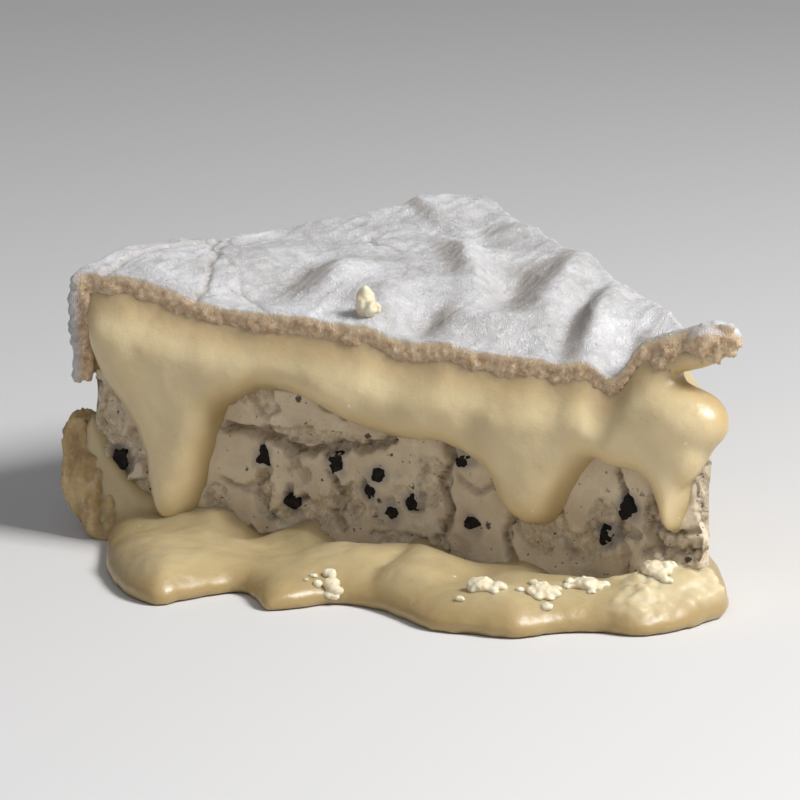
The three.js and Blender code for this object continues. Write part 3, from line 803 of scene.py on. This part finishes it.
def make_filling():
    outline = filling_outline()
    rows = int((FILLING_HIGH - FILLING_LOW) / FILLING_STEP)
    bm = bmesh.new()
    bmesh.ops.create_grid(bm, x_segments=len(outline), y_segments=rows, size=0.5)
    mesh = baked("truffle_filling", bm)
    at = points_of(mesh)
    column = np.round((at[:, 0] + 0.5) * len(outline)).astype(int) % len(outline)
    x, y, nx, ny, along, face = outline[column].T
    # In front the layer has slumped down on to the spread paste.
    low = np.where(face == 0, np.minimum(FILLING_LOW, read_table(FRONT_FOOT, along) - 0.8), FILLING_LOW)
    height = low + (at[:, 1] + 0.5) * (FILLING_HIGH - low)
    at = np.stack([x, y, height], axis=1)
    out, torn = filling_relief(at, along, height, face)
    for middle, half in TRUFFLES:
        gap = np.linalg.norm(at - middle, axis=1) / max(half)
        out = np.where(gap < 1.9, out + (0.05 - out) * (1 - ease(gap, 1.0, 1.5)), out)
    at[:, 0] += nx * out
    at[:, 1] += ny * out
    put_points(mesh, at)
    bm = bmesh.new()
    bm.from_mesh(mesh)
    bmesh.ops.remove_doubles(bm, verts=bm.verts[:], dist=1e-4)
    bmesh.ops.holes_fill(bm, edges=[e for e in bm.edges if e.is_boundary])
    bmesh.ops.triangulate(bm, faces=[f for f in bm.faces if len(f.verts) > 4])
    bmesh.ops.recalc_face_normals(bm, faces=bm.faces[:])
    into(mesh, bm)
    at = points_of(mesh)
    near = np.full(len(at), 9.0)
    for middle, half in TRUFFLES:
        near = np.minimum(near, np.linalg.norm(at - middle, axis=1) - max(half))
    mark(mesh, "halo", 1 - ease(near + 0.7 * grain(at, 1.5, 44), 0.0, 1.9))
    face_of = np.where(at[:, 1] < 2.5, 0, 1)
    along = np.where(face_of == 0, -at[:, 0], 0)
    stand, torn = filling_relief(at, along, at[:, 2], face_of)
    mark(mesh, "torn", torn)
    # Painted shade, darkest where the cracks and torn pits go deepest.
    mark(mesh, "pit_shade", 0.9 * ease(-stand, 0.9, 2.6))
    return placed("truffle_filling", mesh)


def make_filling_material():
    look = Look("truffle cream cheese")
    body = look.mix(look.mottled(Scale=0.12, High=0.68)["Mask"], (0.68, 0.55, 0.39), (0.88, 0.76, 0.57))
    curd = look.mottled(Scale=0.9, Detail=6, Roughness=0.75)
    rough = look.mix(curd["Mask"], (0.46, 0.34, 0.21), (0.90, 0.79, 0.60))
    body = look.mix(look.mask("torn", 0.75), body, rough)
    # Painted shade: dark brown in the cracks and torn pits.
    body = look.mix(look.mask("pit_shade"), body, (0.22, 0.14, 0.075))
    body = look.mix(look.mask("halo", 0.55), body, (0.20, 0.20, 0.21))
    # Chopped truffle too fine to stand as pieces of its own.
    sorts = ((0.2, 0.09, 0.13, 0.9), (0.34, 0.06, 0.10, 0.9), (0.6, 0.07, 0.13, 0.8))
    for scale, inner, outer, share in sorts:
        speck = look.specks(Scale=scale, Wobble=1.1, Inner=inner, Outer=outer, Share=share)
        body = look.mix(speck, body, (0.03, 0.026, 0.026))
    look.shade(
        Base_Color=body, Roughness=look.ramp(look.mask("torn"), 0, 1, 0.45, 0.8), Subsurface_Weight=0.12,
        Subsurface_Radius=(1.0, 0.75, 0.5), Subsurface_Scale=0.0015)
    fine = look.mottled(Scale=2.2, Detail=6, Roughness=0.7)["Height"]
    look.bump(look.sum((curd["Height"], 0.7), (fine, 0.5)), 0.0007, 0.9)
    return look.material


serve(make_filling(), make_filling_material(), "filling", "truffle_filling")

# ------------------------------------------------------------
# Truffle pieces: bits of black truffle in the filling, cut flush by the knife. Each sits in its pocket.


TRUFFLES_IN_FRONT = 12
TRUFFLE_PROUD = 0.2  # how far the cut flat stands out of the filling


def make_truffle_material():
    look = Look("black truffle")
    veins = look.mottled(Scale=0.9, Roughness=0.65, Low=0.5, High=0.72)
    look.shade(
        Base_Color=look.mix(veins["Mask"], (0.004, 0.003, 0.0025), (0.045, 0.028, 0.02)),
        Roughness=look.ramp(veins["Height"], 0.3, 0.7, 0.5, 0.9), Specular_IOR_Level=0.25)
    look.bump(veins["Height"], 0.0006, 1.0)
    return look.material


def make_truffle(number, middle, half):
    bm = bmesh.new()
    bmesh.ops.create_icosphere(bm, subdivisions=4, radius=1)
    mesh = baked(f"truffle_{number:02d}", bm)
    at = points_of(mesh)
    rough = 0.42 * grain(at, 0.9, number) + 0.25 * grain(at, 0.45, number + 30) + 0.1 * grain(at, 0.2, 5)
    at = at * (1 + rough)[:, None] * np.array(half) * 1.15 + np.array(middle)
    # The knife's cut leaves it flat, a little proud of the filling.
    if number <= TRUFFLES_IN_FRONT:
        at[:, 1] -= half[1] * 0.55
        at[:, 1] = np.maximum(at[:, 1], FILLING_INSET - TRUFFLE_PROUD + 0.12 * grain(at, 0.7, 50))
    else:
        outwards = np.array((math.sin(WEDGE), math.cos(WEDGE), 0))
        at += outwards * half[1] * 0.55
        excess = np.clip(FILLING_INSET - TRUFFLE_PROUD - behind_back(at[:, 0], at[:, 1]), 0, None)
        at -= outwards * excess[:, None]
    put_points(mesh, at)
    return placed(mesh.name, mesh)


TRUFFLE = make_truffle_material()
for number, (middle, half) in enumerate(TRUFFLES, 1):
    serve(make_truffle(number, middle, half), TRUFFLE, "truffle", f"truffle_piece_{number:02d}")

# ------------------------------------------------------------
# Lower paste: the ripe layer under the filling, and what has run out of it over the board, in thick lobes
# with rounded edges in front and in a narrower spill behind.

LAYER_LOW, LAYER_HIGH = 2.3, 7.3
PUDDLE = 7.0
PUDDLE_EDGE = 6.5  # how far in from its edge a spill reaches its full depth
# Outline of the spill at each cut face: distance from the tip, and distance out of the cut.
FRONT_SPILL = [
    (60, -2), (100, -2), (106, -2), (107.3, 0), (107, 4), (103.5, 11), (97.5, 21), (91.5, 28.5), (86, 33),
    (80.5, 34.5), (77.5, 29), (73.5, 22.5), (69, 24.5), (64.5, 29.5),
    (60.5, 27), (56.5, 21.5), (51, 21), (43, 24.5), (36.5, 28.5),
    (29, 28), (22, 27), (18, 21.5), (12, 18), (6, 17.5), (1.5, 11.5), (-0.4, 5), (-1.2, 1), (0, -1.6),
    (6, -2), (30, -2),
]
BACK_SPILL = [
    (60, -2), (20, -2), (3, -2), (0.5, -0.5), (1.5, 2), (5, 3.2), (14, 6.2), (26, 9), (33, 8), (39, 6.5),
    (46, 9), (53, 13.5), (62, 16), (70, 14), (77, 9.5), (84, 10.5),
    (91, 12.5), (99, 9), (105, 4), (107, 0), (105, -2), (90, -2),
]
# Swells and hollows of the front spill: distance from the tip, distance out, rise, and reach along and out.
LOBES = [
    (98, 9, -1.8, 10, 9),
    (88, 16, 0.6, 9, 8), (84, 24, 0.8, 6, 8), (71, 8, -1.2, 5, 8), (62, 14, 0.8, 7, 10), (49, 6, 1.8, 8, 7),
    (46, 16, 1.0, 6, 7), (37, 12, -1.2, 4, 9), (26, 8, 0.2, 10, 8), (5, 5, 1.6, 6, 6), (17, 14, -0.4, 6, 6),
]


def spill_height(distance, out, line, back):
    inside = depth_inside(distance, out, line)
    rounded = np.sqrt(np.clip(1 - (1 - np.clip(inside / PUDDLE_EDGE, 0, 1)) ** 2, 0, 1))
    at = np.stack([distance, out, np.full_like(distance, 5.0 * back)], axis=1)
    rise = 1.0 * grain(at, 13, 61) + 0.5 * grain(at, 6, 62) + 0.22 * grain(at, 2.6, 63)
    if not back:
        for d, o, height, along, across in LOBES:
            rise = rise + height * np.exp(-((distance - d) / along) ** 2 - ((out - o) / across) ** 2)
        # A fold where a later run has set over an earlier one.
        fold = to_line(distance, out, [(53, -2), (51, 8), (52, 16), (49, 22)])
        rise = rise - 1.3 * bell(fold / 0.9)
    full = PUDDLE - 1.5 - 0.6 * ease(out, 10, 30) + rise * (0.35 + 0.65 * rounded)
    if not back:
        foot = bell(np.clip(out, 0, None) / 4.2)
        full = full + (read_table(FRONT_FOOT, distance) - full) * foot
    return np.clip(full * rounded, 0.05, None)


def make_spill(outline, back):
    line = softened(outline)

    def place(distance, out, side):
        x, y = on_face(distance, out, back)
        return x, y, np.where(side > 0.5, spill_height(distance, out, line, back), 0)

    return sheet("spill", line, 0, 0.1, place)


def place_lower_layer(u, v, side):
    r = 1.5 + (FILLING_RADIUS - 1.5) * u
    angle = v * WEDGE
    x, y = round_at(r, angle)
    top = np.minimum(LAYER_HIGH, read_table(FRONT_FOOT, -x) - 0.6 + 9 * ease(y, 1.5, 6))
    return x, y, np.where(side > 0.5, top, LAYER_LOW)


def make_lower_paste():
    spills = [make_spill(FRONT_SPILL, False), make_spill(BACK_SPILL, True)]
    parts = [*spills, slab("layer", 90, 40, place_lower_layer)]
    # At the rim it has been squeezed up between the filling and the bulging side wall.
    climb = [
        (-112.5, 17, 1.8, 4), (-112.1, 14.5, 2.6, 4), (-111.4, 12, 3.3, 4), (-110.4, 9.8, 4.2, 3.8),
        (-108.6, 7.8, 5, 3.4), (-105.4, 6, 6, 2.8), (-109, 4.4, 5, 4),
    ]
    parts += [blob((x, 0.9, z), (across, 2.4, up)) for x, z, across, up in climb]
    piece = fused("lower_paste", parts, PASTE_VOXEL, 20)
    mesh, at, out = opened(piece)
    # Its edge bulges out a little above the board.
    bulge = ease(at[:, 2], 0, 2.4) * (1 - ease(at[:, 2], 3.2, 6)) * (1 - np.abs(out[:, 2]))
    # Under the tip it has curdled into soft lumps.
    curdled = ease(at[:, 0], -19, -8) * ease(at[:, 2], 2, 4.5) * ease(-at[:, 1], -3, 1)
    curdled = curdled * ease(grain(at, 5, 67), -0.6, 0.1)
    lumps = curdled * (1.9 * curds(at, 3.0, 68) + 0.7 * curds(at, 1.5, 69) - 0.9)
    at += out * (0.8 * bulge + lumps + 0.12 * grain(at, 2.4, 64) + 0.05 * grain(at, 1.0, 65))[:, None]
    at[:, 2] = np.clip(at[:, 2], 0, None)
    put_points(mesh, at)
    # Darker and deeper in colour towards the board.
    mark(mesh, "thick", ease(at[:, 2], 1.5, 7))
    mark(mesh, "curdled", curdled)
    mark(mesh, "smear", 0.55 * (1 - ease(-at[:, 1], 0.5, 5)) * ease(0.5 + grain(at, 4, 66), 0.2, 1.0))
    return piece


LOWER_PASTE = make_paste_material("spread lower paste", (0.40, 0.285, 0.12), (0.56, 0.455, 0.26), 0.38)
spread_paste = make_lower_paste()
SPREAD_SURFACE = BVHTree.FromPolygons(
    [point.co for point in spread_paste.data.vertices],
    [face.vertices for face in spread_paste.data.polygons])
serve(spread_paste, LOWER_PASTE, "paste", "lower_paste")

# ------------------------------------------------------------
# Bottom rind: the crust under the wedge and the lower part of the side wall, which the weight above has
# pushed out into a wrinkled bulge. It is damp, so its mould has gone cream and brown, and the creases of
# its wrinkles carry painted shade.

LOWER_WALL = 20.0
WALL_BULGE = 2.2
WALL_FLARE = 2.5
BOTTOM_VOXEL = 0.45


def place_bottom_wall(u, v, side):
    flare = (WALL_FLARE - 0.4) / WHEEL
    angle = v * (WEDGE + 2 * flare) - flare
    top = LOWER_WALL + 0.5 * np.sin(13 * v) + 0.5 * np.sin(31 * v + 2)
    outside = WHEEL + WALL_BULGE * np.sin(np.pi * u) + 0.6 * u - 0.6 - 3.4 * (1 - u) ** 3
    r = np.where(side > 0.5, outside, outside - WALL - 1)
    return *round_at(r, angle), u * top


def place_bottom_crust(u, v, side):
    r = 2 + (WHEEL - 3.5) * u
    angle = (0.012 + 0.976 * v) * WEDGE
    return *round_at(r, angle), np.where(side > 0.5, 2.0, 0.0)


def make_bottom_rind():
    parts = [slab("wall", 24, 140, place_bottom_wall), slab("crust", 60, 40, place_bottom_crust)]
    # Its cut end has folded over into a thick lip.
    lip = [
        (-113.8, 16.5, 2.4, 3.2), (-113.6, 13, 3.0, 4), (-113, 9.5, 3.7, 4.4), (-111.6, 6, 4.2, 3.8),
        (-109.6, 3, 4.2, 2.7),
    ]
    parts += [blob((x, -0.3, z), (across, 2.1, up)) for x, z, across, up in lip]
    piece = fused("bottom_rind", parts, BOTTOM_VOXEL, 2)
    mesh, at, out = opened(piece)
    x, y, z = at.T
    radial = np.hypot(x, y)
    lip_end = ease(radial, 104, 110) * (1 - ease(y, 1, 4))
    outer = np.maximum(ease(radial, WHEEL - 2.5, WHEEL - 1), lip_end)
    around = np.arctan2(y, -x) * WHEEL
    across = np.stack([around, z * 0.35, np.zeros_like(z)], axis=1)
    across[:, 0] -= x * 1.8
    wrinkles = 1.3 * grain(across, 4.2, 71) + 0.9 * (1 - np.abs(grain(across, 2.2, 72))) - 0.7
    lumps = 0.35 * curds(at, 1.6, 73) + 0.25 * grain(at, 1.0, 74)
    folded = (0.75 + 1.5 * lip_end) * (wrinkles - 0.35)
    at += out * (outer * np.clip(z / 2, 0, 1) * (folded + 0.5 * lumps - 0.1))[:, None]
    at[:, 2] = np.clip(at[:, 2], 0, None)
    put_points(mesh, at)
    # Marks the outer wall's wrinkle ridges; creases and faces off the outer wall get painted shade from it.
    mark(mesh, "unshaded_ridges", outer * ease(wrinkles + 0.5 * grain(at, 1.4, 76), -0.9, 0.5))
    return piece


def make_damp_rind_material():
    look = Look("damp lower rind")
    tone = look.mottled(Scale=0.16, Detail=6, Roughness=0.65)["Mask"]
    body = look.mix(tone, (0.36, 0.235, 0.095), (0.62, 0.46, 0.23))
    mould = look.mottled(Scale=0.7, Detail=6, Roughness=0.75, Low=0.5, High=0.72, Share=0.55)
    body = look.mix(mould["Mask"], body, (0.70, 0.62, 0.49))
    # Painted shade: darker brown in the wrinkles' creases and on faces off the outer wall.
    body = look.mix(look.ramp(look.mask("unshaded_ridges"), 0, 1, 0.5, 0), body, (0.26, 0.16, 0.065))
    look.shade(
        Base_Color=body, Roughness=look.ramp(mould["Height"], 0.3, 0.7, 0.5, 0.85), Subsurface_Weight=0.25,
        Subsurface_Radius=(1.0, 0.65, 0.35), Subsurface_Scale=0.002)
    fine = look.mottled(Scale=2.0, Detail=6, Roughness=0.7)["Height"]
    look.bump(look.sum((mould["Height"], 0.7), (fine, 0.5)), 0.0004, 0.8)
    return look.material


serve(make_bottom_rind(), make_damp_rind_material(), "rind", "bottom_rind")

# ------------------------------------------------------------
# Crumbs: curds of the filling and paste that the knife dragged off. Five clusters lie on the spread paste,
# and one curd stands on the top rind.

CRUMB_VOXEL = 0.22


def make_crumb(name, middle, half, seed, spread, count, lying=False):
    """A cluster of curds, the largest in the middle. Lying ones are each sunk in the spread paste."""
    chance = np.random.default_rng(seed)
    parts = []
    for index in range(count):
        share = 1.0 if index == 0 else chance.uniform(0.3, 0.62)
        shift = np.zeros(3) if index == 0 else chance.normal(0, 1, 3) * np.array(half) * spread
        shift[2] = -0.5 * half[2] * (1 - share)
        radii = np.array(half) * share * chance.uniform(0.8, 1.1, 3)
        centre = Vector(middle) + Vector(shift)
        if lying:
            under = SPREAD_SURFACE.ray_cast(Vector((centre.x, centre.y, TOP)), Vector((0, 0, -1)))[0]
            if under is None:
                continue
            centre.z = under.z + 0.3 * radii[2]
        parts.append(blob(centre, radii))
    piece = fused(name, parts, CRUMB_VOXEL, 1)
    mesh, at, out = opened(piece)
    at += out * (0.32 * curds(at, 1.1, seed) + 0.22 * grain(at, 0.8, seed) - 0.12)[:, None]
    put_points(mesh, at)
    return piece


def make_crumb_material():
    look = Look("pale curd")
    tone = look.mottled(Scale=0.5)
    look.shade(
        Base_Color=look.mix(tone["Mask"], (0.70, 0.59, 0.39), (0.86, 0.79, 0.62)),
        Roughness=look.ramp(tone["Height"], 0.3, 0.7, 0.4, 0.65), Subsurface_Weight=0.4,
        Subsurface_Radius=(1.0, 0.7, 0.4), Subsurface_Scale=0.0025)
    look.bump(look.mottled(Scale=1.8, Roughness=0.65)["Height"], 0.0003, 0.7)
    return look.material


CRUMB = make_crumb_material()
for number in range(1, 6):
    middle, half = place_of(f"crumb_{number:02d}")
    half = Vector((half.x, half.y, max(half.z, 1.5))) * 0.85
    cluster = make_crumb(f"crumb_cluster_{number:02d}", middle, half, 80 + number, 0.8, 14, lying=True)
    serve(cluster, CRUMB, "crumb", f"crumb_{number:02d}")
middle, half = place_of("rind_crumb")
standing = make_crumb("standing_crumb", middle + Vector((0, 0, 0.4)), Vector((1.9, 1.2, 2.8)), 91, 0.5, 8)
serve(standing, CRUMB, "crumb", "rind_crumb")

# ------------------------------------------------------------
# The board it stands on, the light and the camera.

TARGET = Vector((-65.7, 20.0, 23.8))
CAMERA_DISTANCE = 0.8
CAMERA_AZIMUTH, CAMERA_ELEVATION = 26.8, 12.6
LENS = 220.0
# Each light's azimuth, elevation, distance, size and power.
LIGHTS = {"key": (86, 44, 0.9, 0.3, 9.6), "fill": (12, 30, 1.2, 0.9, 1.9)}


def toward(azimuth, elevation):
    """The direction from the wedge towards a viewer at these angles. Azimuth 0 looks along +Y."""
    a, e = math.radians(azimuth), math.radians(elevation)
    return Vector((math.sin(a) * math.cos(e), -math.cos(a) * math.cos(e), math.sin(e)))


def look_at(thing, place, target):
    thing.location = place
    thing.rotation_euler = (target - place).to_track_quat("-Z", "Y").to_euler()


def make_board():
    bm = bmesh.new()
    bmesh.ops.create_grid(bm, x_segments=1, y_segments=1, size=3)
    board = placed("board", baked("board", bm))
    material = bpy.data.materials.new("pale board")
    material.use_nodes = True
    shader = material.node_tree.nodes["Principled BSDF"]
    shader.inputs["Base Color"].default_value = (0.72, 0.71, 0.70, 1)
    shader.inputs["Roughness"].default_value = 0.9
    board.data.materials.append(material)


def make_light(name, azimuth, elevation, distance, size, power):
    lamp = bpy.data.lights.new(name, "AREA")
    lamp.size = size
    lamp.energy = power
    look_at(placed(name, lamp), middle + toward(azimuth, elevation) * distance, middle)


make_board()
middle = (TARGET + TIP) / 1000
for name, settings in LIGHTS.items():
    make_light(name, *settings)
world = bpy.data.worlds.new("room")
world.use_nodes = True
world.node_tree.nodes["Background"].inputs["Color"].default_value = (0.82, 0.84, 0.9, 1)
world.node_tree.nodes["Background"].inputs["Strength"].default_value = 0.22
bpy.context.scene.world = world
bpy.context.scene.view_settings.view_transform = "Standard"
camera = placed("camera", bpy.data.cameras.new("camera"))
camera.data.lens = LENS
camera.data.sensor_width = 36
camera.data.clip_start = 0.01
look_at(camera, middle + toward(CAMERA_AZIMUTH, CAMERA_ELEVATION) * CAMERA_DISTANCE, middle)
bpy.context.scene.camera = camera
